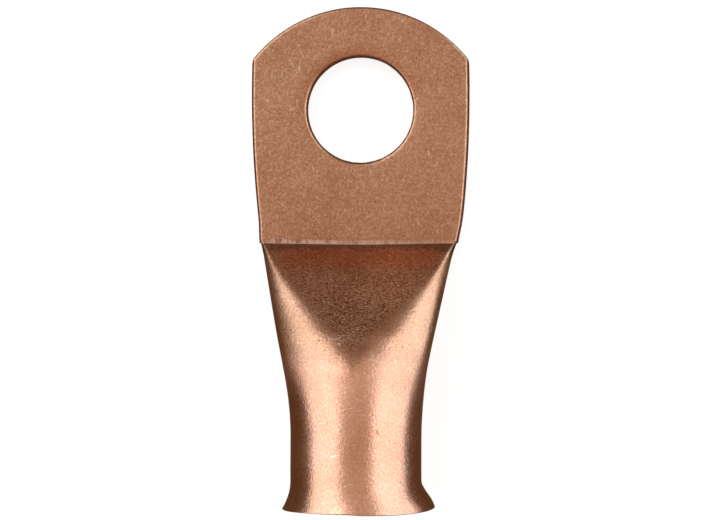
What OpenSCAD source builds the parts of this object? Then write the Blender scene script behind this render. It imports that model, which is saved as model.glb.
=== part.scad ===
// Copper cable lug pressed from one length of round tube: a round barrel with a
// flared cable mouth, a sloping transition, and a flat palm with one stud hole.
// Millimetres. The origin is the centre of the stud hole on the palm's
// underside, +Z is up, +Y points to the palm's free end, the barrel is at -Y.

/* [Stud hole] */
// Diameter of the clearance hole for the stud
hole_d = 10.5; // [8.4:0.1:12.6]
// Roll-over radius that the punch leaves on the hole's upper edge
hole_roll = 0.3; // [0.1:0.05:0.5]

/* [Palm] */
// Thickness of the palm, which is two tube walls pressed together
palm_t = 1.9; // [1.6:0.1:2.2]
// Width of the palm where it is widest
palm_w = 21.55; // [20.5:0.05:22]
// Distance from the hole's centre to the sheared end
palm_end = 10.15; // [9.5:0.05:11]
// Radius of the sheared end
tip_r = 13.55; // [12.5:0.05:15]
// Rounding of the two corners of the sheared end
corner_r = 1.0; // [0.6:0.1:1.6]
// Radius of the long, slightly bowed fold edges
side_r = 112; // [100:1:140]
// Place of the widest point, measured from the hole's centre
side_y = 1.4; // [0:0.1:2.5]
// Distance from the hole's centre to the crease at the foot of the slope
step_u = 13.13; // [12.5:0.05:14]

/* [Transition] */
// Width over the shoulders just behind the crease
shoulder_w = 19.14; // [18.6:0.02:19.3]
// Extra width of the shoulder at the crease, gone after shoulder_len
shoulder_kick = 0.26; // [0.1:0.02:0.3]
// Length over which the extra width of the shoulder fades
shoulder_len = 1.7; // [1.2:0.1:2.4]
// Narrowing of the outline for each millimetre towards the barrel
taper = 0.436; // [0.42:0.002:0.45]
// Length of straight taper before the outline eases into the barrel
taper_len = 10.8; // [10:0.1:11.4]
// Length of the top slope that is straight
slope_len = 8.4; // [7.6:0.1:9]
// Distance from the crease at which the slope has all but levelled out
level_len = 12.7; // [12:0.1:13.4]
// Remaining slope there
level_slope = 0.15; // [0.1:0.01:0.2]
// Half width that the tapering flat on the slope would have at the crease
facet_top = 10.65; // [10.2:0.05:11]
// Narrowing of that half width for each millimetre towards the barrel
facet_rate = 1.08; // [1:0.01:1.15]
// Greatest half height of the sides that the die flattens
side_flat = 1.0; // [0.6:0.1:1.2]
// Inset of the rounding along the palm's folded edges
fold_a = 0.42; // [0.36:0.02:0.5]

/* [Barrel] */
// Outside diameter of the tube
tube_d = 12.7; // [12.4:0.1:13]
// Wall thickness of the tube
wall = 1.0; // [0.9:0.05:1.1]
// Distance from the hole's centre to the start of the flare
flare_u = 36.1; // [35:0.1:38]
// Length of the flare
flare_len = 2.85; // [2.6:0.05:3]
// Rise of the flare at its top and bottom, where it is smallest
flare_top = 0.42; // [0.2:0.02:0.6]
// Width over the rim
rim_d = 14.8; // [14.4:0.1:15]
// Rounding of the rim's edges
rim_round = 0.12; // [0.06:0.02:0.2]
// Length of the straight round socket, from its inner end to the flare
socket_len = 7.2; // [5:0.1:7.4]

/* [Hidden] */
$fn = 96;
eps = 0.03;
copper = [0.78, 0.50, 0.36];

axis_z = tube_d / 2;
rise = tube_d - palm_t;

// The straight taper, continued by a parabola that ends level at the tube.
ease_end = 2 * ((shoulder_w - tube_d) / taper) - taper_len;
function width(s) =
    s < taper_len
    ? shoulder_w - taper * s
      + shoulder_kick * pow(max(0, 1 - s / shoulder_len), 2)
    : tube_d + taper * pow(max(0, ease_end - s), 2) / (2 * (ease_end - taper_len));

// Height of the top: straight, then easing twice until it is level.
steep = (rise - level_slope * (ease_end - slope_len) / 2)
        / ((slope_len + level_len) / 2);
function height(s) =
    s <= 0 ? palm_t
    : s < slope_len ? palm_t + steep * s
    : s < level_len ? palm_t + steep * slope_len
        + steep * (s - slope_len)
        - (steep - level_slope) * pow(s - slope_len, 2) / (2 * (level_len - slope_len))
    : tube_d - level_slope * pow(max(0, ease_end - s), 2) / (2 * (ease_end - level_len));

// Half width of the flat on the slope and of its twin on the underside: nearly
// the full width at first, then a straight taper to a point.
function softer(g, k) = (g + sqrt(g * g + k * k)) / 2;
function facet_raw(s) =
    let (edge = width(s) / 2 - fold_a - 0.15 * s, line = facet_top - facet_rate * s)
    softer((edge + line - norm([edge - line, 0.8])) / 2, 0.7);
function facet(s) = facet_raw(max(0, s))
    + (width(0) / 2 - fold_a - facet_raw(0)) * exp(-max(0, s));

// Half height of the flattened side.
function side(s) = max(0.01, side_flat * lookup(s,
    [[0, 0], [3, 0.2], [6, 0.7], [9, 1], [12, 1], [15, 0.5], [18.5, 0]]));

// Angle at which the two arcs of a rounded corner meet: flatter folds at the
// palm, nearly even rounding on the slope.
fold_phi = 65;
slope_phi = 46;
function ease(x) = let (t = min(1, max(0, x))) t * t * (3 - 2 * t);
function phi(s) = fold_phi + (slope_phi - fold_phi) * ease(s / 3);

// Radii of two arcs that round a corner a wide and b high, meeting at angle p.
function arc_top(a, b, p) = (a * cos(p) - b * (1 - sin(p))) / (sin(p) + cos(p) - 1);
function arc_side(a, b, p) = (b * sin(p) - a * (1 - cos(p))) / (sin(p) + cos(p) - 1);

// Closed ring of points at distance s behind the crease: four flats joined by
// rounded corners, drawn in by t from the outside of the tube.
arc_n = 8;
function corner_points(f, a, b, v, p) =
    let (r1 = arc_top(a, b - v, p), r2 = arc_side(a, b - v, p))
    concat(
        [for (i = [0 : arc_n - 1]) let (q = (90 - p) * i / arc_n)
            [f + a - r2 + r2 * cos(q), v + r2 * sin(q)]],
        [for (i = [0 : arc_n]) let (q = 90 - p + p * i / arc_n)
            [f + r1 * cos(q), b - r1 + r1 * sin(q)]]);
function ring(s, t, flat = 1) =
    let (w = width(max(0, s)) / 2, b = height(s) / 2 - t, v = max(0.01, side(s) * flat), z = height(s) / 2,
         a = max(w - facet(s) - t, t > 0.5 ? 0.75 * (b - v) : 0.1), f = w - t - a,
         c = corner_points(f, a, b, v, phi(s)), n = len(c) - 1, y = -step_u - s)
    concat(
        [for (i = [n : -1 : 0]) [c[i][0], y, z - c[i][1]]],
        [for (i = [0 : n]) [c[i][0], y, z + c[i][1]]],
        [for (i = [n : -1 : 0]) [-c[i][0], y, z + c[i][1]]],
        [for (i = [0 : n]) [-c[i][0], y, z - c[i][1]]]);

// Skin over a list of rings, closed by a fan at its two ends.
module skin(rings) {
    m = len(rings[0]);
    n = len(rings);
    pts = concat([for (r = rings) each r],
        [[0, rings[0][0][1], (rings[0][0][2] + rings[0][m / 2][2]) / 2],
         [0, rings[n - 1][0][1], (rings[n - 1][0][2] + rings[n - 1][m / 2][2]) / 2]]);
    sides = [for (i = [0 : n - 2], j = [0 : m - 1]) let (k = (j + 1) % m)
        each [[i * m + j, (i + 1) * m + j, (i + 1) * m + k],
              [i * m + j, (i + 1) * m + k, i * m + k]]];
    first = [for (j = [0 : m - 1]) [n * m, j, (j + 1) % m]];
    last = [for (j = [0 : m - 1]) [n * m + 1, (n - 1) * m + (j + 1) % m, (n - 1) * m + j]];
    polyhedron(points = pts, faces = concat(sides, first, last), convexity = 4);
}

// Stands a turned shape along the tube's axis, so its Z is the distance from
// the stud hole towards the cable mouth.
module along_tube() translate([0, 0, axis_z]) rotate([90, 0, 0]) children();

// Plate whose right edge is a tight fold, bowed to side_r.
module folded_plate() {
    off = side_r - palm_w / 2;
    r1 = arc_top(fold_a, palm_t / 2, fold_phi);
    r2 = arc_side(fold_a, palm_t / 2, fold_phi);
    translate([-off, side_y, 0]) rotate([0, 0, -13]) rotate_extrude(angle = 26, $fn = 360)
        union() {
            intersection() {
                translate([side_r - r2, palm_t / 2]) circle(r = r2);
                translate([side_r - 1.5, palm_t / 2 - r2 * cos(fold_phi)])
                    square([2, 2 * r2 * cos(fold_phi)]);
            }
            translate([side_r - fold_a, palm_t - r1]) circle(r = r1);
            translate([side_r - fold_a, r1]) circle(r = r1);
            translate([off - palm_w / 2 - 1, 0]) square([palm_w + 1 - fold_a, palm_t]);
        }
}

// Centre of the rounding in the right corner, just outside tangency with the
// fold edge, and the points where it leaves the two edges.
tip_c = [0, palm_end - tip_r];
side_c = [palm_w / 2 - side_r, side_y];
ra = tip_r - corner_r;
rb = side_r + 0.02 - corner_r;
cc = side_c - tip_c;
dd = norm(cc);
da = (dd * dd + ra * ra - rb * rb) / (2 * dd);
dh = sqrt(ra * ra - da * da);
corner_c = tip_c + da * cc / dd + dh * [cc[1], -cc[0]] / dd;
corner_c2 = tip_c + da * cc / dd - dh * [cc[1], -cc[0]] / dd;
corner = corner_c[1] > corner_c2[1] ? corner_c : corner_c2;
leave_tip = corner + corner_r * (corner - tip_c) / norm(corner - tip_c);
leave_side = corner + corner_r * (corner - side_c) / norm(corner - side_c);

// Outline that the shear and the crease give the palm.
module shear_outline() {
    difference() {
        union() {
            translate(tip_c) circle(r = tip_r, $fn = 360);
            translate([-14, -step_u]) square([28, step_u]);
        }
        translate([-20, -40 - step_u]) square([40, 40]);
        for (m = [0, 1]) mirror([m, 0])
            polygon([leave_tip, leave_tip + [0, 6], leave_side + [6, 6],
                     leave_side + [6, 0], leave_side]);
    }
    for (m = [0, 1]) mirror([m, 0]) translate(corner) circle(r = corner_r);
}

module palm() {
    intersection() {
        folded_plate();
        mirror([1, 0, 0]) folded_plate();
        translate([0, 0, -1]) linear_extrude(palm_t + 2) shear_outline();
    }
}

// Swell of the flare at distance d from its start, in the direction q round
// the axis, and the same for its inner side, one wall further in.
function swell(d, q) =
    let (x = min(1, max(0, d / flare_len)), t = ease((d - 0.1) / 2.3),
         side = (rim_d - tube_d) / 2 * (0.4 * x * x + 0.6 * t))
    flare_top * x * x + (side - flare_top * x * x) * pow(cos(q), 2);
function swell_in(d, q) =
    let (slope = (swell(d + 0.02, q) - swell(d - 0.02, q)) / 0.04)
    max(0, swell(d, q) - wall * (sqrt(1 + slope * slope) - 1));

// Ring of the flare: distance d from its start, radius r besides the swell.
flare_n = 72;
function flare_ring(d, r, inner) = [for (j = [0 : flare_n - 1])
    let (q = -90 + 360 * (j + 0.5) / flare_n,
         k = r + (inner ? swell_in(min(d, flare_len - 0.03), q) : swell(d, q)))
    [k * cos(q), -flare_u - d, axis_z + k * sin(q)]];

// What is solid inside the rim's outer side, before the bore is cut.
module flare_body() skin(concat(
    [flare_ring(-0.3, tube_d / 2 - eps, false), flare_ring(0, tube_d / 2 - eps / 2, false)],
    [for (i = [1 : 9]) flare_ring((flare_len - rim_round) * i / 9, tube_d / 2, false)],
    [for (i = [1 : 3]) let (q = 30 * i)
        flare_ring(flare_len - rim_round + rim_round * sin(q),
            tube_d / 2 - rim_round + rim_round * cos(q), false)]));

// What the flared mouth leaves open, with its rounded inner edge.
module flare_opening() let (r = tube_d / 2 - wall) skin(concat(
    [flare_ring(-0.3, r - eps, true), flare_ring(0, r - eps / 2, true)],
    [for (i = [1 : 7]) flare_ring((flare_len - rim_round) * i / 7, r, true)],
    [for (i = [1 : 3]) let (q = 25 * i)
        flare_ring(flare_len - rim_round + rim_round * sin(q), r + rim_round * (1 - cos(q)), true)],
    [flare_ring(flare_len + 0.5, r + rim_round, true)]));

module stud_hole() {
    translate([0, 0, -1]) cylinder(d = hole_d, h = palm_t + 2);
    rotate_extrude() translate([0, palm_t - hole_roll]) difference() {
        square([hole_d / 2 + hole_roll, 1]);
        translate([hole_d / 2 + hole_roll, 0]) circle(r = hole_roll);
    }
}

// Stations of the outer skin: the first lies inside the palm, the last inside
// the barrel. The hollow ends where the two walls meet.
outer_stations = concat([-0.6], [for (i = [0 : 6]) i * 0.5],
    [for (i = [1 : 10]) 3 + i * (level_len - 3) / 10],
    [for (i = [1 : 5]) level_len + i * (ease_end - level_len) / 5], [ease_end + 0.6]);
hollow_start = (2 * wall + 0.3 - palm_t) / steep;
hollow_end = flare_u - socket_len - step_u + 0.3;
inner_stations = [for (i = [0 : 12]) hollow_start + i * (hollow_end - hollow_start) / 12];
function rounder(s) = ease((s - hollow_end + 4.5) / 4);

module lug() color(copper) difference() {
    union() {
        palm();
        skin([for (s = outer_stations) ring(s, eps)]);
        along_tube() translate([0, 0, step_u + ease_end])
            cylinder(d = tube_d, h = flare_u - step_u - ease_end + 0.02);
        flare_body();
    }
    stud_hole();
    skin([for (s = inner_stations) ring(s, wall + eps + 0.2 * rounder(s), 1 - rounder(s))]);
    along_tube() translate([0, 0, flare_u - socket_len])
        cylinder(d = tube_d - 2 * wall, h = socket_len + 0.01);
    flare_opening();
}

lug();
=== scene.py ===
import math

import bpy
import numpy as np
from mathutils import Matrix, Vector, noise


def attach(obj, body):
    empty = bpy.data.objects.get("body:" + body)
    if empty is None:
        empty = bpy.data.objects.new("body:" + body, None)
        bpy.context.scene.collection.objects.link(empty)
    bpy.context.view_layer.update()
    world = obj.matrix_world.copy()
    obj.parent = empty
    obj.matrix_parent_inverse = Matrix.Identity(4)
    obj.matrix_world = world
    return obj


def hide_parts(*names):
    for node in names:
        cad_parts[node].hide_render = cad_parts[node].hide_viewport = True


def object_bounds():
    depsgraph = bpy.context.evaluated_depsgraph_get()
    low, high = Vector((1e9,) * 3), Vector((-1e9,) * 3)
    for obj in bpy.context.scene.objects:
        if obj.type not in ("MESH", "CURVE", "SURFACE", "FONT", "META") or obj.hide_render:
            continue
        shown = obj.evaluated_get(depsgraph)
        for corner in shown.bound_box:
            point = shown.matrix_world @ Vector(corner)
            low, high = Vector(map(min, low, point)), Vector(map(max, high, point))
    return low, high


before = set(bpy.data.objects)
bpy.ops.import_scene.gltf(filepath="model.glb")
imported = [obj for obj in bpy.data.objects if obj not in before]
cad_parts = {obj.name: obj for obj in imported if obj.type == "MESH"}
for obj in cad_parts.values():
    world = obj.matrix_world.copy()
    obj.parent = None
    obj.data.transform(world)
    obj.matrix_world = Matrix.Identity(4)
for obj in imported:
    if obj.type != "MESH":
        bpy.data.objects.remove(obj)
cad_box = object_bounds()
scene = bpy.context.scene
MM = 0.001

# ---------------------------------------------------------------- dimensions, mm
HOLE_R = 5.25
ROLL = 0.30          # roll-over at the hole's upper edge
T = 1.9              # palm thickness
W = 21.55            # palm width at its widest
PALM_END = 10.15
TIP_R = 13.55
CORNER_R = 1.0
SIDE_R = 112.0
SIDE_Y = 1.4
STEP = 13.13         # the crease lies at y = -STEP
SHOULDER_W, KICK, KICK_LEN = 19.14, 0.26, 1.7
TAPER, TAPER_LEN = 0.436, 10.8
TUBE_D, WALL = 12.7, 1.0
SLOPE_LEN, LEVEL_LEN, LEVEL_SLOPE = 8.4, 12.7, 0.15
FACET_TOP, FACET_RATE, FACET_EASE, FACET_SOFT = 10.65, 1.08, 0.8, 0.7
# Half height of the side that the die flattens: distance behind the crease, half height.
SIDE_FLAT = [(0.0, 0.0), (3.0, 0.2), (6.0, 0.7), (9.0, 1.0), (12.0, 1.0), (15.0, 0.5), (18.5, 0.0)]
FLARE_U, FLARE_LEN, RIM_ROUND = 36.1, 2.85, 0.12
FLARE_LEFT, FLARE_RIGHT, FLARE_TOP = 0.86, 1.25, 0.38
# How far the rim falls short of its length: direction across, from -1 at the left to 1 at the right, shortfall.
RIM_EDGE = [(-1.0, 0.06), (-0.75, 0.09), (-0.4, 0.11), (-0.1, 0.11), (0.15, 0.01), (0.6, 0.0), (0.8, 0.05), (0.93, 0.12), (1.0, 0.22)]
FOLD_A, PHI = 0.42, math.radians(65)   # inset of the fold's shoulder, angle where its two arcs meet
PHI_TUBE = math.radians(46)             # the same angle on the slope
RISE = TUBE_D - T
EASE_END = 2 * ((SHOULDER_W - TUBE_D) / TAPER) - TAPER_LEN
STEEP = (RISE - LEVEL_SLOPE * (EASE_END - SLOPE_LEN) / 2) / ((SLOPE_LEN + LEVEL_LEN) / 2)


def smooth(x):
    x = np.clip(x, 0.0, 1.0)
    return x * x * (3 - 2 * x)


def half_width(s):
    """Half width of the outside at distance s behind the crease."""
    if s < TAPER_LEN:
        w = SHOULDER_W - TAPER * s + KICK * max(0.0, 1 - s / KICK_LEN) ** 2
    else:
        w = TUBE_D + TAPER * max(0.0, EASE_END - s) ** 2 / (2 * (EASE_END - TAPER_LEN))
    return w / 2


def top(s):
    """Height of the top at distance s behind the crease."""
    if s <= 0:
        return T
    if s < SLOPE_LEN:
        return T + STEEP * s
    if s < LEVEL_LEN:
        d = s - SLOPE_LEN
        return T + STEEP * SLOPE_LEN + STEEP * d - (STEEP - LEVEL_SLOPE) * d * d / (2 * (LEVEL_LEN - SLOPE_LEN))
    return TUBE_D - LEVEL_SLOPE * max(0.0, EASE_END - s) ** 2 / (2 * (EASE_END - LEVEL_LEN))


HW0 = half_width(0.0)
F0 = HW0 - FOLD_A


def facet_raw(s):
    edge, line = half_width(s) - FOLD_A - 0.15 * s, FACET_TOP - FACET_RATE * s
    g = 0.5 * (edge + line - math.hypot(edge - line, FACET_EASE))
    return 0.5 * (g + math.hypot(g, FACET_SOFT))


def facet(s):
    """Half width of the flat on the slope."""
    return facet_raw(s) + (F0 - facet_raw(0.0)) * math.exp(-s)


def side_flat(s):
    """Half height of the flattened side."""
    return float(np.interp(s, *zip(*SIDE_FLAT)))


def phi(s):
    """Angle where the two arcs of a section meet."""
    return PHI + (PHI_TUBE - PHI) * float(smooth(s / 3.0))


def two_arcs(a, b, p):
    """Radii of the two arcs that round an end a wide and b high, meeting at the angle p."""
    s, c = math.sin(p), math.cos(p)
    det = s + c - 1
    return (a * c - b * (1 - s)) / det, (b * s - a * (1 - c)) / det


def upper(f, a, b, v, p, u):
    """Upper half of a section: points at arc length shares u, from the right side over the top to the left."""
    r1, r2 = two_arcs(a, b - v, p)
    l2, l1 = r2 * (math.pi / 2 - p), r1 * p
    half = v + l2 + l1 + f
    t = np.asarray(u) * 2 * half
    left = t > half
    t = np.where(left, 2 * half - t, t)
    d = t - v
    q2 = d / max(r2, 1e-9)
    q1 = (math.pi / 2 - p) + (d - l2) / max(r1, 1e-9)
    x = np.where(d < 0, f + a, np.where(d < l2, f + a - r2 + r2 * np.cos(q2), np.where(d < l2 + l1, f + r1 * np.cos(q1), half - t)))
    z = np.where(d < 0, t, v + np.where(d < l2, r2 * np.sin(q2), np.where(d < l2 + l1, b - v - r1 + r1 * np.sin(q1), b - v)))
    return np.where(left, -x, x), z


# Sideways bend: distance behind the crease, shift.
BEND = [(-2.6, 0.0), (-1.8, -0.03), (-0.9, -0.12), (0.0, -0.18), (0.9, -0.22), (1.8, -0.24), (3.5, -0.25), (6.0, -0.25), (9.5, -0.24),
        (12.0, -0.22), (14.5, -0.18), (17.0, -0.16), (20.0, -0.18), (22.0, -0.18), (26.0, -0.16)]


# ---------------------------------------------------------------- mesh store
verts, quads = [], []


def add(points):
    """Adds points and returns their numbers."""
    start = sum(len(v) for v in verts)
    points = np.asarray(points, float).reshape(-1, 3)
    verts.append(points)
    return np.arange(start, start + len(points))


def strip(a, b, closed):
    """Quads between two rows of point numbers, with b to the left of a when walked from outside."""
    n = len(a)
    for i in range(n if closed else n - 1):
        k = (i + 1) % n
        quads.append((a[i], a[k], b[k], b[i]))


# Edge profiles, from the middle of the thickness up: K segments.
K = 12
M = 72               # segments over the flat at the crease


def fold_profile():
    """(inset, height above the middle) of the folded long edge."""
    b = T / 2
    r1, r2 = two_arcs(FOLD_A, b, PHI)
    q = []
    for i in range(8):
        p = (math.pi / 2 - PHI) * i / 7
        q.append((r2 - r2 * math.cos(p), r2 * math.sin(p)))
    for i in range(1, 6):
        p = (math.pi / 2 - PHI) + PHI * i / 5
        q.append((FOLD_A - r1 * math.cos(p), b - r1 + r1 * math.sin(p)))
    return np.array(q)


def shear_profile():
    """(inset, height above the middle) of the sheared end, with the closed seam of the two walls."""
    b, r = T / 2, 0.30
    q = [(0.05, 0.0), (0.008, 0.035)]
    for i in range(1, 6):
        q.append((0.0 + 0.004 * i, 0.035 + (b - r - 0.035) * i / 5))
    for i in range(1, 7):
        p = math.pi / 2 * i / 6
        q.append((0.02 + r - r * math.cos(p) * 1.0, b - r + r * math.sin(p)))
    return np.array(q)


FOLD, SHEAR = fold_profile(), shear_profile()


def outline():
    """Palm outline from the right end of the crease round the tip to the left end: point, normal, share of fold."""
    cs = np.array([W / 2 - SIDE_R, SIDE_Y])
    ct = np.array([0.0, PALM_END - TIP_R])
    ra, rb = TIP_R - CORNER_R, SIDE_R - CORNER_R
    cc = cs - ct
    dd = np.linalg.norm(cc)
    da = (dd * dd + ra * ra - rb * rb) / (2 * dd)
    dh = math.sqrt(ra * ra - da * da)
    perp = np.array([cc[1], -cc[0]]) / dd
    c1, c2 = ct + da * cc / dd + dh * perp, ct + da * cc / dd - dh * perp
    corner = c1 if c1[1] > c2[1] else c2
    a_side0 = math.asin((-STEP - SIDE_Y) / SIDE_R)
    d = corner - cs
    a_side1 = math.atan2(d[1], d[0])
    d = corner - ct
    a_tip = math.atan2(d[1], d[0])
    pts = []
    n_side, n_corner, n_tip = 72, 12, 92
    for i in range(n_side + 1):
        a = a_side0 + (a_side1 - a_side0) * i / n_side
        n = np.array([math.cos(a), math.sin(a)])
        p = cs + SIDE_R * n
        # the fold runs straight into the shoulder over the last 1.5 mm
        w = float(smooth((p[1] + STEP) / 1.5))
        n2 = np.array([math.cos(a * w), math.sin(a * w)])
        pts.append((p, n2, 1.0))
    for i in range(1, n_corner + 1):
        a = a_side1 + (a_tip - a_side1) * i / n_corner
        n = np.array([math.cos(a), math.sin(a)])
        pts.append((corner + CORNER_R * n, n, 1 - float(smooth(i / (n_corner * 0.8)))))
    for i in range(1, n_tip // 2 + 1):
        a = a_tip + (math.pi / 2 - a_tip) * i / (n_tip // 2)
        n = np.array([math.cos(a), math.sin(a)])
        pts.append((ct + TIP_R * n, n, 0.0))
    left = [(np.array([-p[0], p[1]]), np.array([-n[0], n[1]]), w) for p, n, w in reversed(pts[:-1])]
    return pts + left


OUT = outline()
NOUT = len(OUT)


def edge_points(p, n, w, upper_half):
    """Profile of the palm's edge at one outline point: K + 1 points from the middle to the face."""
    q = FOLD * w + SHEAR * (1 - w)
    sign = 1 if upper_half else -1
    return [(p[0] - n[0] * i, p[1] - n[1] * i, T / 2 + sign * h) for i, h in q]


# rows of the edge, middle first
edge_up = [add([edge_points(*o, True)[k] for o in OUT]) for k in range(K + 1)]
edge_dn = [add([edge_points(*o, False)[k] for o in OUT]) for k in range(1, K + 1)]
for k in range(K):
    strip(edge_up[k], edge_up[k + 1], False)
rows = [edge_up[0]] + edge_dn
for k in range(K):
    strip(rows[k + 1], rows[k], False)

# the crease line between the ends of the outline, at both faces
step_x = np.linspace(-F0, F0, M + 1)[1:-1]
step_up = add([(x, -STEP, T) for x in step_x])
step_dn = add([(x, -STEP, 0.0) for x in step_x])
loop_up = np.concatenate([edge_up[K], step_up])
loop_dn = np.concatenate([edge_dn[K - 1], step_dn])
allv = np.concatenate(verts)
outer_up, outer_dn = allv[loop_up], allv[loop_dn]

# ---------------------------------------------------------------- palm faces and stud hole
angle = np.arctan2(outer_up[:, 1], outer_up[:, 0])
ring = np.stack([np.cos(angle), np.sin(angle)], 1)
DISH_R, DISH = 6.45, 0.035


def dish(r, a):
    """How far the upper face dips towards the punched hole."""
    t = np.clip((DISH_R - r) / (DISH_R - HOLE_R - ROLL), 0, 1)
    return DISH * t * t * (1.0 + 0.45 * np.sin(a) + 0.2 * np.sin(3 * a + 1))


face_w = [0.0]
for step in [0.09, 0.09, 0.1, 0.11, 0.12, 0.13, 0.15, 0.17, 0.2]:
    face_w.append(face_w[-1] + step * 0.2)
inner = face_w[-1]
mid = np.linspace(inner, 0.93, 24)[1:]
face_w += list(mid) + [0.95, 0.966, 0.978, 0.986, 0.992, 0.996]
face_w = np.array(face_w)


def face_rows(outer, z, with_dish):
    r0 = HOLE_R + (ROLL if with_dish else 0.1)
    out = []
    for w in face_w:
        h = ring * r0
        # near the hole the rows stay round
        p = h * (1 - w) + outer[:, :2] * w
        rr = np.linalg.norm(p, axis=1)
        blend_w = smooth((w - inner) / 0.35) if w > inner else 0.0
        round_r = r0 + (np.mean(np.linalg.norm(outer[:, :2], axis=1)) - r0) * w
        rr2 = rr * blend_w + round_r * (1 - blend_w)
        p = ring * rr2[:, None]
        zz = np.full(len(p), z)
        if with_dish:
            zz = zz - dish(rr2, angle)
        out.append(add(np.column_stack([p, zz])))
    return out


up_rows = face_rows(outer_up, T, True)
for a, b in zip(up_rows, up_rows[1:] + [loop_up]):
    strip(b, a, True)
dn_rows = face_rows(outer_dn, 0.0, False)
for a, b in zip(dn_rows, dn_rows[1:] + [loop_dn]):
    strip(a, b, True)

hole_rows = [up_rows[0]]
dip = dish(np.full(len(angle), HOLE_R + ROLL), angle)
slope_in = 2 * DISH / (DISH_R - HOLE_R - ROLL)
for i in range(1, 9):
    q = math.radians(4) + (math.pi / 2 - math.radians(4)) * i / 8
    r = HOLE_R + ROLL * (1 - math.sin(q))
    zz = T - dip - ROLL * (1 - math.cos(q)) * 1.0
    hole_rows.append(add(np.column_stack([ring * r, zz])))
z_wall = T - ROLL
burr = np.maximum(0.8 + 0.45 * ring[:, 0] - 0.7 * ring[:, 1], 0.1)
rough_wall = np.array([[noise.noise(Vector((x * 9, y * 9, z * 2))) for x, y in ring] for z in (0.1, 0.4, 0.7)])
for z, dr, rag in [(1.42, 0.0, 0), (1.25, 0.0, 0), (1.1, 0.0, 0), (0.985, 0.004, 0), (0.95, -0.03, 0), (0.915, 0.0, 0),
                   (0.75, 0.01, 0.5), (0.5, 0.025, 1.0), (0.28, 0.045, 1.0), (0.12, 0.07, 1.0)]:
    r = HOLE_R - dr * burr + 0.02 * rag * rough_wall[int(3 * z) % 3]
    hole_rows.append(add(np.column_stack([ring * r[:, None], np.full(len(angle), z)])))
hole_rows.append(add(np.column_stack([ring * (HOLE_R - 0.02), np.full(len(angle), 0.03)])))
hole_rows.append(dn_rows[0])
for a, b in zip(hole_rows, hole_rows[1:]):
    strip(a, b, True)

# ---------------------------------------------------------------- outside of the slope and the barrel
N = 2 * (M + 2 * K)
r1, r2 = two_arcs(FOLD_A, T / 2, PHI)
l2, l1 = r2 * (math.pi / 2 - PHI), r1 * PHI
total = 2 * (l2 + l1 + F0)
u_palm = np.array([l2 * i / 7 for i in range(8)] + [l2 + l1 * i / 5 for i in range(1, 6)])
u_palm = np.concatenate([u_palm, l2 + l1 + 2 * F0 * np.arange(1, M) / M, total - u_palm[::-1]]) / total
u_even = np.arange(M + 2 * K + 1) / (M + 2 * K)
assert len(u_palm) == len(u_even)


def section(s, f, a, b, zc):
    w = float(smooth(s / 7.0))
    x, z = upper(f, a, b, side_flat(s), phi(s), u_palm * (1 - w) + u_even * w)
    up = np.column_stack([x, np.full(len(x), -STEP - s), zc + z])
    dn = np.column_stack([x, np.full(len(x), -STEP - s), zc - z])
    return np.concatenate([up, dn[-2:0:-1]])


def stations():
    s, out = 0.0, []
    while s < EASE_END:
        s += 0.035 + 0.19 * float(smooth(s / 3.0))
        out.append(min(s, EASE_END))
    return out


n_up = M + 2 * K + 1
# ring at the crease, made of the points that are already there: right edge, crease line, left edge, underside
right_up = [edge_up[k][0] for k in range(K + 1)]
left_up = [edge_up[k][-1] for k in range(K + 1)]
right_dn = [edge_dn[k - 1][0] for k in range(1, K + 1)]
left_dn = [edge_dn[k - 1][-1] for k in range(1, K + 1)]
ring0 = right_up + list(step_up[::-1]) + left_up[::-1] + left_dn + list(step_dn) + right_dn[::-1]
assert len(ring0) == N, (len(ring0), N)
rings = [np.array(ring0)]
for s in stations():
    f, h = facet(s), top(s)
    rings.append(add(section(s, f, half_width(s) - f, h / 2, h / 2)))
AXIS = TUBE_D / 2


def flare(d, x, z):
    """Swell of the flare and its slope at distance d from its start, in the direction x, z; z is not used."""
    t = min(max((d - 0.1) / 2.3, 0.0), 1.0)
    right, right_slope = t * t * (3 - 2 * t), 6 * t * (1 - t) / 2.3
    t = max(d, 0.0) / 2.65
    right = FLARE_RIGHT * (0.5 * right + 0.5 * t ** 1.4)
    right_slope = FLARE_RIGHT * (0.5 * right_slope + 0.5 * 1.4 * t ** 0.4 / 2.65)
    d = max(d, 0.0) / FLARE_LEN
    left, left_slope = FLARE_LEFT * d * d, FLARE_LEFT * 2 * d / FLARE_LEN
    top, top_slope = FLARE_TOP * d * d, FLARE_TOP * 2 * d / FLARE_LEN
    side, slope = np.where(x > 0, right, left), np.where(x > 0, right_slope, left_slope)
    return top + (side - top) * x * x, top_slope + (slope - top_slope) * x * x


def turned(u, r, inside=False):
    """Ring of the round part at distance u from the stud hole, of radius r and flared at the mouth."""
    x, z = upper(0.0, 1.0, 1.0, 0.0, PHI, u_even)
    swell, slope = flare(u - FLARE_U, x, z)
    if inside:
        swell = np.maximum(swell - WALL * (np.hypot(1.0, slope) - 1), 0.0)
    r = r + swell
    y = -u + np.interp(x, *zip(*RIM_EDGE)) * np.clip((u - FLARE_U) / FLARE_LEN, 0, 1)
    up = np.column_stack([x * r, y, AXIS + z * r])
    dn = np.column_stack([x * r, y, AXIS - z * r])
    return np.concatenate([up, dn[-2:0:-1]])


u = STEP + EASE_END
for i in range(1, 19):
    rings.append(add(turned(u + (FLARE_U - u) * i / 18, TUBE_D / 2)))
mouth_u = FLARE_U + FLARE_LEN
for i in range(1, 23):
    rings.append(add(turned(FLARE_U + (FLARE_LEN - RIM_ROUND - 0.03) * i / 22, TUBE_D / 2)))
for i in range(0, 7):
    q = math.pi / 2 * i / 6
    rings.append(add(turned(mouth_u - RIM_ROUND + RIM_ROUND * math.sin(q), TUBE_D / 2 - RIM_ROUND + RIM_ROUND * math.cos(q))))
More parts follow.
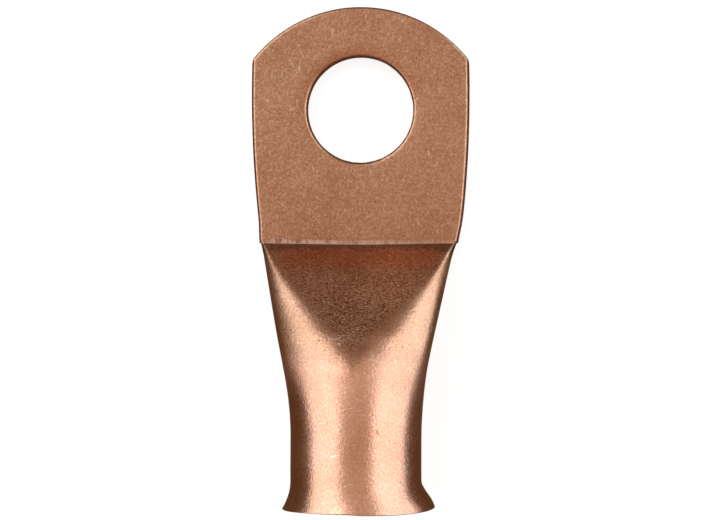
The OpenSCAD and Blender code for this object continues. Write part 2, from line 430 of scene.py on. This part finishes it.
# the cut face of the rim, from the outer edge to the inner one
rim_out = np.concatenate(verts)[rings[-1]]
rim_in = turned(mouth_u, TUBE_D / 2 - WALL + RIM_ROUND, True)
for i in range(1, 4):
    rings.append(add(rim_out + (rim_in - rim_out) * i / 4))
for i in range(0, 6):
    q = math.radians(75) * i / 5
    rings.append(add(turned(mouth_u - RIM_ROUND + RIM_ROUND * math.cos(q), TUBE_D / 2 - WALL + RIM_ROUND - RIM_ROUND * math.sin(q), True)))
n_outer_rings = len(rings)
for i in range(1, 15):
    rings.append(add(turned(FLARE_U + (FLARE_LEN - RIM_ROUND - 0.03) * (1 - i / 14), TUBE_D / 2 - WALL, True)))
for i in range(1, 17):
    rings.append(add(turned(FLARE_U - (FLARE_U - u) * i / 16, TUBE_D / 2 - WALL)))
s_close = (2 * WALL + 0.02 - T) / STEEP
inner_s = [s_close + (EASE_END - s_close) * (1 - i / 60) ** 1.25 for i in range(1, 61)]


def inner_section(s):
    h, hw = top(s), half_width(s) - WALL
    b = h / 2 - WALL
    a = max(half_width(s) - facet(s) - WALL, 0.75 * (b - side_flat(s)))
    return section(s, hw - a, a, b, h / 2)


for s in inner_s:
    rings.append(add(inner_section(s)))
for a, b in zip(rings, rings[1:]):
    strip(a, b, True)
# the hollow closes where the two walls meet
last = rings[-1]
for j in range(n_up - 1):
    a, b = last[j], last[j + 1]
    c = last[(N - j - 1) % N]
    d = last[(N - j) % N]
    ids = []
    for v in (a, b, c, d):
        if v not in ids:
            ids.append(v)
    if len(ids) > 2:
        quads.append(tuple(ids))

V = np.concatenate(verts)

# ---------------------------------------------------------------- small faults of the real piece
y, x, z = V[:, 1], V[:, 0], V[:, 2]
s_all = -y - STEP
# the crease sags a little towards the barrel in its middle
bow = 0.13 * np.clip(1 - (x / 9.2) ** 2, 0, 1) * np.exp(-(s_all / 1.1) ** 2) * smooth((z - 0.9) / 0.8)
V[:, 1] -= bow
# narrow coined land in front of the crease, pressed a little lower than the palm
sa = -V[:, 1] - STEP - 0.13 * np.clip(1 - (x / 9.2) ** 2, 0, 1)
land = smooth((sa + 0.44) / 0.07) * (1 - smooth((sa - 0.02) / 0.10)) * smooth((z - 1.7) / 0.1) * smooth((9.3 - np.abs(x)) / 0.5)
V[:, 2] -= 0.035 * land
# the barrel lies a quarter of a millimetre to one side, and the mouth swings back
V[:, 0] += np.interp(s_all, *zip(*BEND))


def wave(seed, scale, p):
    return np.array([noise.noise(Vector((a * scale + seed, b * scale - seed, c * scale + 2 * seed))) for a, b, c in p])


# ---------------------------------------------------------------- the piece
mesh = bpy.data.meshes.new("lug_copper")
mesh.from_pydata([tuple(p) for p in (V * MM)], [], [tuple(int(i) for i in q) for q in quads])
mesh.validate()
mesh.update()
lug = bpy.data.objects.new("lug_copper", mesh)
scene.collection.objects.link(lug)
mesh.shade_smooth()

# gentle unevenness along the normals, inwards only so the piece stays inside its box
co = np.zeros(len(mesh.vertices) * 3)
no = np.zeros(len(mesh.vertices) * 3)
mesh.vertices.foreach_get("co", co)
mesh.vertices.foreach_get("normal", no)
co, no = co.reshape(-1, 3), no.reshape(-1, 3)
amp = 0.010 * wave(3.1, 0.33, co / MM) + 0.004 * wave(7.7, 1.1, co / MM)
co = co + no * ((amp - 0.008) * MM)[:, None]
lo, hi = np.array(cad_box[0]), np.array(cad_box[1])
co = np.clip(co, lo, hi)
mesh.vertices.foreach_set("co", co.ravel())
mesh.update()

print("triangles", sum(len(p.vertices) - 2 for p in mesh.polygons), "verts", len(mesh.vertices))


# ---------------------------------------------------------------- material
def nodes_of(mat):
    mat.use_nodes = True
    nt = mat.node_tree
    nt.nodes.clear()
    return nt


class Graph:
    def __init__(self, nt):
        self.nt = nt

    def new(self, kind, inputs=None, **props):
        n = self.nt.nodes.new(kind)
        for k, v in props.items():
            setattr(n, k, v)
        for k, v in (inputs or {}).items():
            s = n.inputs[k]
            if hasattr(v, "is_linked") or hasattr(v, "links"):
                self.nt.links.new(v, s)
            else:
                s.default_value = v
        return n

    def math(self, op, a, b=None, clamp=False):
        n = self.nt.nodes.new("ShaderNodeMath")
        n.operation = op
        n.use_clamp = clamp
        for i, v in enumerate([a, b]):
            if v is None:
                continue
            if hasattr(v, "links"):
                self.nt.links.new(v, n.inputs[i])
            else:
                n.inputs[i].default_value = v
        return n.outputs[0]

    def rng(self, v, a, b, c=0.0, d=1.0, kind="SMOOTHSTEP"):
        n = self.nt.nodes.new("ShaderNodeMapRange")
        n.interpolation_type = kind
        self.nt.links.new(v, n.inputs["Value"])
        n.inputs["From Min"].default_value = a
        n.inputs["From Max"].default_value = b
        n.inputs["To Min"].default_value = c
        n.inputs["To Max"].default_value = d
        return n.outputs[0]

    def mix(self, f, a, b):
        n = self.nt.nodes.new("ShaderNodeMix")
        n.data_type = "RGBA"
        self.nt.links.new(f, n.inputs["Factor"]) if hasattr(f, "links") else setattr(n.inputs["Factor"], "default_value", f)
        for name, v in (("A", a), ("B", b)):
            sock = [s for s in n.inputs if s.name == name and s.type == "RGBA"][0]
            if hasattr(v, "links"):
                self.nt.links.new(v, sock)
            else:
                sock.default_value = (*v, 1)
        return [s for s in n.outputs if s.type == "RGBA"][0]


MARKS = [
    (-2.75, 8.0, -2.75, 7.1, 0.07, 0.8), (-6.0, 4.7, -6.0, 3.9, 0.07, 0.8), (-5.9, 5.9, -5.55, 5.1, 0.08, 0.7), (-6.7, 4.6, -6.5, 4.2, 0.06, 0.6),
    (-6.2, 6.4, -6.0, 6.3, 0.11, 0.8), (-9.15, 1.0, -9.1, 0.9, 0.12, 0.7), (-6.8, 0.1, -6.7, 0.05, 0.11, 0.8), (-4.7, -5.6, -4.5, -6.1, 0.06, 0.5),
    (6.7, -4.1, 6.8, -4.5, 0.10, 0.7), (7.6, -5.2, 7.3, -5.6, 0.07, 0.6), (-7.9, -9.2, -7.2, -9.8, 0.06, 0.6), (5.6, -10.6, 5.9, -11.4, 0.06, 0.6),
    (-1.5, -11.3, -0.9, -11.9, 0.06, 0.5), (2.4, -9.3, 2.3, -10.0, 0.05, 0.5), (0.6, 7.9, 1.0, 7.6, 0.06, 0.4), (7.9, 2.4, 7.8, 1.6, 0.05, 0.5),
    (-2.55, -22.3, -1.75, -22.35, 0.08, 1.0), (-1.75, -22.35, -1.1, -21.95, 0.08, 0.9), (-1.6, -22.75, -1.5, -22.8, 0.11, 1.0),
    (-1.1, -28.95, -0.2, -28.8, 0.07, 0.8), (0.2, -27.9, 0.7, -28.2, 0.07, 0.6), (-2.3, -33.4, -1.5, -33.25, 0.09, 0.8),
    (-0.9, -36.2, -0.2, -35.95, 0.09, 0.8), (-5.0, -33.9, -4.1, -34.5, 0.11, 0.7), (-4.6, -37.3, -4.4, -37.4, 0.12, 0.8),
    (4.9, -35.0, 5.2, -35.3, 0.10, 0.7), (0.1, -37.6, 0.2, -37.7, 0.11, 0.7), (1.6, -23.6, 1.7, -24.3, 0.06, 0.8), (3.4, -22.6, 3.0, -23.2, 0.05, 0.7),
]


def copper():
    mat = bpy.data.materials.new("copper")
    nt = nodes_of(mat)
    g = Graph(nt)
    out = g.new("ShaderNodeOutputMaterial")
    bsdf = g.new("ShaderNodeBsdfPrincipled", {"Metallic": 1.0, "IOR": 1.45})
    nt.links.new(bsdf.outputs[0], out.inputs[0])
    pos = g.new("ShaderNodeTexCoord").outputs["Object"]

    def scaled(sx, sy, sz):
        n = g.new("ShaderNodeMapping", {"Vector": pos})
        n.inputs["Scale"].default_value = (sx, sy, sz)
        return n.outputs[0]

    def tex(vec, scale, detail=2.0, rough=0.5, dist=0.0):
        n = g.new("ShaderNodeTexNoise", {"Vector": vec, "Scale": scale, "Detail": detail, "Roughness": rough, "Distortion": dist})
        return n.outputs["Fac"]

    sep = g.new("ShaderNodeSeparateXYZ", {"Vector": pos})
    px, py, pz = sep.outputs
    # distance in front of the crease (the palm) or behind it (the slope), in millimetres
    sag = g.math("MULTIPLY", g.rng(g.math("ABSOLUTE", px), 0.0, 0.0092, 1.0, 0.0), 0.13)
    fore = g.math("ADD", g.math("MULTIPLY", g.math("ADD", py, 0.01313), 1000.0), sag)
    on_palm = g.rng(fore, -0.1, 0.1)
    slope = g.math("MULTIPLY", g.rng(fore, -0.05, -0.2), g.rng(fore, -12.0, -9.0))
    top_side = g.rng(pz, 0.0009, 0.0011)

    def scale_by(color, factor, tint):
        """Multiplies a colour by a tint where the factor is one."""
        n = g.new("ShaderNodeMix", {"Factor": factor}, data_type="RGBA", blend_type="MULTIPLY")
        nt.links.new(color, [k for k in n.inputs if k.name == "A" and k.type == "RGBA"][0])
        [k for k in n.inputs if k.name == "B" and k.type == "RGBA"][0].default_value = (*tint, 1)
        return [k for k in n.outputs if k.type == "RGBA"][0]

    # grain: fine speckle, a little longer along the tube, and coarser clouds
    cloud = tex(scaled(1, 1, 1), 260.0, 3.0, 0.55)
    blotch = tex(scaled(1, 0.6, 1), 900.0, 2.0, 0.6)
    grain = tex(scaled(1, 0.8, 1), 4600.0, 1.0, 0.5)
    hair = tex(scaled(1, 0.16, 1), 4600.0, 1.0, 0.5, 0.2)
    pit = tex(scaled(1, 1, 1), 1500.0, 2.0, 0.6)
    # colour
    base = g.mix(g.rng(cloud, 0.3, 0.7), (0.74, 0.345, 0.205), (0.80, 0.395, 0.247))
    base = g.mix(g.math("MULTIPLY", g.rng(blotch, 0.45, 0.75), 0.3), base, (0.72, 0.32, 0.185))
    fine = tex(scaled(1, 0.9, 1), 5600.0, 1.0, 0.5)
    bright = g.math("ADD", g.math("MULTIPLY", on_palm, 0.3), 0.5)
    base = g.mix(g.math("MULTIPLY", g.rng(fine, 0.52, 0.74, kind="LINEAR"), bright), base, (0.98, 0.62, 0.43))
    rougher = g.math("ADD", g.math("MULTIPLY", g.math("MAXIMUM", on_palm, slope), 0.4), 0.6)
    base = scale_by(base, g.math("MULTIPLY", g.rng(fine, 0.50, 0.26, kind="LINEAR"), rougher), (0.80, 0.75, 0.73))
    # the slope: bright and dark specks, growing towards the barrel; the dark specks are grain, the bright ones grain
    # with painted glints
    speck = tex(scaled(1.0, 1.6, 1.6), 4200.0, 2.0, 0.75)
    across = g.math("MULTIPLY", g.math("ABSOLUTE", g.math("ADD", px, 0.00022)), -1000.0)
    in_flat = g.rng(g.math("ADD", g.math("ADD", g.math("MULTIPLY", fore, 1.08), across), 11.1), -1.0, 1.3)
    # the flat ends in a darker tip where the slope levels out: painted shade
    tip = g.math("ADD", g.math("ADD", g.math("MULTIPLY", fore, 1.0), g.math("MULTIPLY", across, 1.6)), 13.1)
    tip = g.math("MULTIPLY", g.math("MULTIPLY", g.rng(tip, -0.2, 1.8), g.rng(fore, -8.6, -10.2)), top_side)
    lower = g.math("MULTIPLY", g.math("MULTIPLY", slope, in_flat), g.rng(fore, -0.5, -6.0, 0.5, 1.0))
    # bright specks: grain with painted glints
    base = g.mix(g.math("MULTIPLY", g.rng(speck, 0.53, 0.66), lower), base, (1.0, 0.72, 0.50))
    base = scale_by(base, g.math("MULTIPLY", g.rng(speck, 0.51, 0.38), lower), (0.42, 0.32, 0.26))
    mask = g.rng(tex(scaled(1, 1, 1), 420.0, 1.0, 0.5), 0.50, 0.66)
    base = g.mix(g.math("MULTIPLY", g.math("MULTIPLY", g.rng(hair, 0.67, 0.76), mask), 0.75), base, (1.0, 0.72, 0.55))
    base = scale_by(base, g.rng(pit, 0.30, 0.25), (0.62, 0.52, 0.46))
    base = g.mix(g.math("MULTIPLY", g.rng(pit, 0.715, 0.76), 0.6), base, (1.0, 0.68, 0.50))
    # painted shade at the tip of the flat
    base = scale_by(base, tip, (0.62, 0.56, 0.52))
    # hair lines that fan out from the foot of the slope
    fan_x = g.math("DIVIDE", px, g.math("ADD", g.math("MULTIPLY", fore, 0.55), 12.0))
    fan = g.new("ShaderNodeCombineXYZ", {"X": g.math("MULTIPLY", fan_x, 9.0), "Y": g.math("MULTIPLY", py, 0.22), "Z": 0.0}).outputs[0]
    streak = tex(fan, 4200.0, 1.0, 0.5, 0.3)
    base = g.mix(g.math("MULTIPLY", g.math("MULTIPLY", g.rng(streak, 0.60, 0.74), lower), 0.55), base, (1.0, 0.66, 0.46))
    # the shoulders beside the flat start darker, more so at the left: painted shade that dims their highlight
    shoulder = g.math("MULTIPLY", g.math("MULTIPLY", slope, g.math("SUBTRACT", 1.0, in_flat)), g.rng(fore, -5.5, -1.5))
    shoulder_shade = g.math("MULTIPLY", g.math("MULTIPLY", shoulder, g.rng(px, 0.002, -0.002, 0.35, 1.0)), g.rng(speck, 0.62, 0.40, 0.35, 1.0))
    base = scale_by(base, shoulder_shade, (0.60, 0.52, 0.47))
    # single scratches and nicks: ends in millimetres, half width, strength
    flat_pos = g.new("ShaderNodeCombineXYZ", {"X": px, "Y": py, "Z": 0.0}).outputs[0]
    marks = None
    for x0, y0, x1, y1, half, strength in MARKS:
        from_a = g.new("ShaderNodeVectorMath", {0: flat_pos, 1: (x0 * MM, y0 * MM, 0)}, operation="SUBTRACT").outputs[0]
        along = ((x1 - x0) * MM, (y1 - y0) * MM, 0)
        dot = g.new("ShaderNodeVectorMath", {0: from_a, 1: along}, operation="DOT_PRODUCT").outputs["Value"]
        t = g.math("MULTIPLY", dot, 1 / (along[0] ** 2 + along[1] ** 2), True)
        on_line = g.new("ShaderNodeVectorMath", {0: along, "Scale": t}, operation="SCALE").outputs[0]
        d = g.new("ShaderNodeVectorMath", {0: from_a, 1: on_line}, operation="DISTANCE").outputs["Value"]
        m = g.rng(d, half * MM, half * 0.3 * MM, 0.0, strength)
        marks = m if marks is None else g.math("MAXIMUM", marks, m)
    marks = g.math("MULTIPLY", marks, top_side)
    ragged = g.rng(grain, 0.35, 0.55, 0.4, 1.0)
    marks = g.math("MULTIPLY", marks, ragged)
    # palm: painted shade, darker and browner all over and more so towards the crease
    base = scale_by(base, on_palm, (0.75, 0.71, 0.64))
    # the slope a little less blue, and its flat darker: painted shade on the flat
    base = scale_by(base, slope, (0.975, 0.995, 0.945))
    base = scale_by(base, g.math("MULTIPLY", slope, in_flat), (0.91, 0.835, 0.785))
    # more painted shade on the palm towards the crease
    base = scale_by(base, g.math("MULTIPLY", on_palm, g.rng(fore, 7.0, 0.3)), (0.93, 0.88, 0.88))
    base = g.mix(g.math("MULTIPLY", marks, 0.9), base, (1.0, 0.72, 0.55))
    # a lighter spot in the flat, right of its middle: painted reflection of the palm
    palm_reflection = g.new("ShaderNodeVectorMath", {0: flat_pos, 1: (0.0032, -0.0164, 0.0)}, operation="DISTANCE").outputs["Value"]
    palm_reflection = g.math("MULTIPLY", g.math("MULTIPLY", g.rng(palm_reflection, 0.0046, 0.0008), slope), in_flat)
    base = scale_by(base, palm_reflection, (1.24, 1.26, 1.26))
    # painted shade on the palm beyond the punched hole, where the face dips towards it
    r_hole = g.new("ShaderNodeVectorMath", {0: flat_pos}, operation="LENGTH").outputs["Value"]
    hole_shade = g.math("MULTIPLY", g.math("MULTIPLY", g.rng(r_hole, 0.0069, 0.0056), g.rng(py, -0.001, 0.0045)), on_palm)
    base = scale_by(base, hole_shade, (0.92, 0.82, 0.76))
    # narrow burnished strip in front of the crease, with ticks across it; its lighter colour is partly painted sheen
    tick = tex(scaled(1, 0.05, 1), 1700.0, 2.0, 0.7)
    edge_wave = g.math("MULTIPLY", g.math("ADD", tex(scaled(1, 0.02, 1), 900.0, 2.0, 0.6), -0.5), 0.5)
    fore_w = g.math("ADD", fore, edge_wave)
    burnish_and_sheen = g.math("MULTIPLY", g.math("MULTIPLY", g.rng(fore, -0.02, 0.03), g.rng(fore_w, 0.44, 0.34)), top_side)
    burnish_and_sheen = g.math("MULTIPLY", burnish_and_sheen, g.rng(g.math("ABSOLUTE", px), 0.0096, 0.0080, 0.25, 1.0))
    burnish_and_sheen = g.math("MULTIPLY", burnish_and_sheen, g.rng(px, -0.0060, 0.0065, 1.0, 0.45, "LINEAR"))
    left_end = g.rng(px, -0.0045, -0.0065)
    tick_at = g.math("MULTIPLY", g.rng(tick, 0.54, 0.43), g.math("ADD", g.math("MULTIPLY", left_end, 0.6), 0.4))
    burnish_sheen_color = g.mix(tick_at, (0.71, 0.45, 0.34), (0.24, 0.12, 0.08))
    base = g.mix(g.math("MULTIPLY", burnish_and_sheen, g.rng(tick, 0.3, 0.65, 0.2, 1.0)), base, burnish_sheen_color)
    # the foot of the slope: a band of painted shade in the crease, then a redder band of painted reflection of the palm
    depth = g.rng(g.math("ABSOLUTE", px), 0.0098, 0.0045, 0.10, 0.0)
    deep = g.math("ADD", g.math("ADD", fore_w, edge_wave), g.math("MULTIPLY", depth, 5.0))
    crease_shade = g.math("MULTIPLY", g.rng(fore, 0.0, -0.05), g.rng(deep, -0.75, -0.15))
    base = scale_by(base, g.math("MULTIPLY", crease_shade, top_side), (0.55, 0.60, 0.70))
    # redder band: painted reflection of the palm on the slope
    red_reflection = g.math("MULTIPLY", g.rng(fore_w, -0.2, -0.7), g.rng(g.math("ADD", fore, g.math("MULTIPLY", edge_wave, 4.0)), -3.2, -1.2))
    red_reflection = g.math("MULTIPLY", red_reflection, g.rng(g.math("ABSOLUTE", px), 0.0088, 0.0062))
    base = scale_by(base, g.math("MULTIPLY", red_reflection, top_side), (1.04, 0.77, 0.68))
    nt.links.new(base, bsdf.inputs["Base Color"])
    # roughness
    rough = g.math("ADD", g.rng(cloud, 0.2, 0.8, 0.22, 0.27, "LINEAR"), g.math("MULTIPLY", grain, 0.06))
    rough = g.math("ADD", rough, g.math("MULTIPLY", on_palm, 0.08))
    rough = g.math("ADD", rough, g.math("MULTIPLY", slope, 0.04))
    rough = g.math("ADD", rough, g.math("MULTIPLY", shoulder, 0.14))
    levelling = g.math("MULTIPLY", g.rng(fore, -9.5, -11.5), g.rng(fore, -16.0, -12.5))
    rough = g.math("ADD", rough, g.math("MULTIPLY", levelling, 0.10))
    nt.links.new(rough, bsdf.inputs["Roughness"])
    # bump: fine grain everywhere, flatter on the palm, with hair lines and pits
    height = g.math("ADD", g.math("MULTIPLY", grain, 0.7), g.math("MULTIPLY", fine, 0.3))
    height = g.math("ADD", height, g.math("MULTIPLY", g.rng(pit, 0.32, 0.24), -0.5))
    height = g.math("ADD", height, g.math("MULTIPLY", g.math("MULTIPLY", speck, lower), 2.5))
    bump = g.new("ShaderNodeBump", {"Height": height, "Strength": 1.0, "Distance": 0.000022})
    nt.links.new(bump.outputs[0], bsdf.inputs["Normal"])
    return mat


lug.data.materials.append(copper())
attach(lug, "root")
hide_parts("lug")

# ---------------------------------------------------------------- floor, light, camera
floor_z = cad_box[0][2]
me = bpy.data.meshes.new("floor")
R = 3.0
me.from_pydata([(-R, -R, floor_z), (R, -R, floor_z), (R, R, floor_z), (-R, R, floor_z)], [], [(0, 1, 2, 3)])
floor = bpy.data.objects.new("floor", me)
scene.collection.objects.link(floor)
fm = bpy.data.materials.new("floor")
nt = nodes_of(fm)
g = Graph(nt)
fo = g.new("ShaderNodeOutputMaterial")
fb = g.new("ShaderNodeBsdfPrincipled", {"Base Color": (0.36, 0.34, 0.32, 1), "Roughness": 0.9, "Emission Color": (0.8, 0.8, 0.8, 1), "Emission Strength": 1.0})
fb.inputs["Specular IOR Level"].default_value = 0.0
nt.links.new(fb.outputs[0], fo.inputs[0])
floor.data.materials.append(fm)
floor.visible_glossy = False
floor.visible_diffuse = False
floor.visible_shadow = False

world = bpy.data.worlds.new("studio")
scene.world = world
world.use_nodes = True
nt = world.node_tree
nt.nodes.clear()
g = Graph(nt)
wo = g.new("ShaderNodeOutputWorld")
tc = g.new("ShaderNodeTexCoord").outputs["Generated"]
sz = g.new("ShaderNodeSeparateXYZ", {"Vector": tc}).outputs[2]
ramp = g.rng(sz, 0.0, 0.95, 0.0, 1.0, "LINEAR")
dome = g.mix(ramp, (0.108, 0.062, 0.029), (0.56, 0.50, 0.44))
bg = g.new("ShaderNodeBackground", {"Color": dome, "Strength": 1.0})
pale = g.new("ShaderNodeBackground", {"Color": (0.93, 0.93, 0.93, 1), "Strength": 1.0})
lp = g.new("ShaderNodeLightPath")
mixw = g.new("ShaderNodeMixShader", {"Fac": lp.outputs["Is Camera Ray"]})
nt.links.new(bg.outputs[0], mixw.inputs[1])
nt.links.new(pale.outputs[0], mixw.inputs[2])
nt.links.new(mixw.outputs[0], wo.inputs[0])


def softbox(name, pos, aim, size_x, size_y, watts, color=(1, 1, 1)):
    light = bpy.data.lights.new(name, "AREA")
    light.shape = "RECTANGLE"
    light.size, light.size_y = size_x, size_y
    light.energy = watts
    light.color = color
    ob = bpy.data.objects.new(name, light)
    scene.collection.objects.link(ob)
    ob.location = pos
    direction = Vector(aim) - Vector(pos)
    ob.rotation_euler = direction.to_track_quat("-Z", "Y").to_euler()
    return ob


CY = -0.0148
BOX_W = 7.7
BLUE = (0.545, 0.70, 0.84)
# two tall boxes half a metre to the sides: lower and upper edge as angles from the vertical
# and the ends as angles from the X axis, the far one towards +Y
for name, side, low, high, near, far in (("box_left", -1, 80.0, 24.5, -24.0, 65.0), ("box_right", 1, 96.5, 30.5, -24.0, 57.0)):
    z0, z1 = (0.55 / math.tan(math.radians(a)) for a in (low, high))
    y0, y1 = (0.55 * math.tan(math.radians(a)) for a in (near, far))
    mid, tall, y_mid, long = (z0 + z1) / 2, z1 - z0, CY + (y0 + y1) / 2, y1 - y0
    softbox(name, (side * 0.55, y_mid, mid), (0, y_mid, mid), long, tall, BOX_W * long * tall, BLUE)

# a smaller one high up at the far left, facing the lug
az, pol = math.radians(54.0), math.radians(32.0)
aim = Vector((-math.cos(az) * math.sin(pol), math.sin(az) * math.sin(pol), math.cos(pol)))
softbox("box_high", tuple(Vector((0, CY, 0)) + aim * 1.0), (0, CY, 0), 0.34, 0.36, BOX_W * 0.34 * 0.36, BLUE)

cam_data = bpy.data.cameras.new("camera")
cam = bpy.data.objects.new("camera", cam_data)
scene.collection.objects.link(cam)
scene.camera = cam
DIST = 0.260
cam_data.sensor_width = 36.0
cam_data.lens = 36.0 * 258.1 / 70.85
tilt = math.radians(2.9)
target = Vector((0.0001, CY, 0.004))
cam.location = target + Vector((math.sin(tilt), 0, math.cos(tilt))) * (DIST - 0.004)
back = (cam.location - target).normalized()
right = Vector((0, 1, 0)).cross(back).normalized()
up = back.cross(right)
cam.matrix_world = Matrix((
    (right.x, up.x, back.x, cam.location.x),
    (right.y, up.y, back.y, cam.location.y),
    (right.z, up.z, back.z, cam.location.z),
    (0, 0, 0, 1)))
cam_data.clip_start, cam_data.clip_end = 0.01, 10.0
scene.view_settings.view_transform = "Standard"
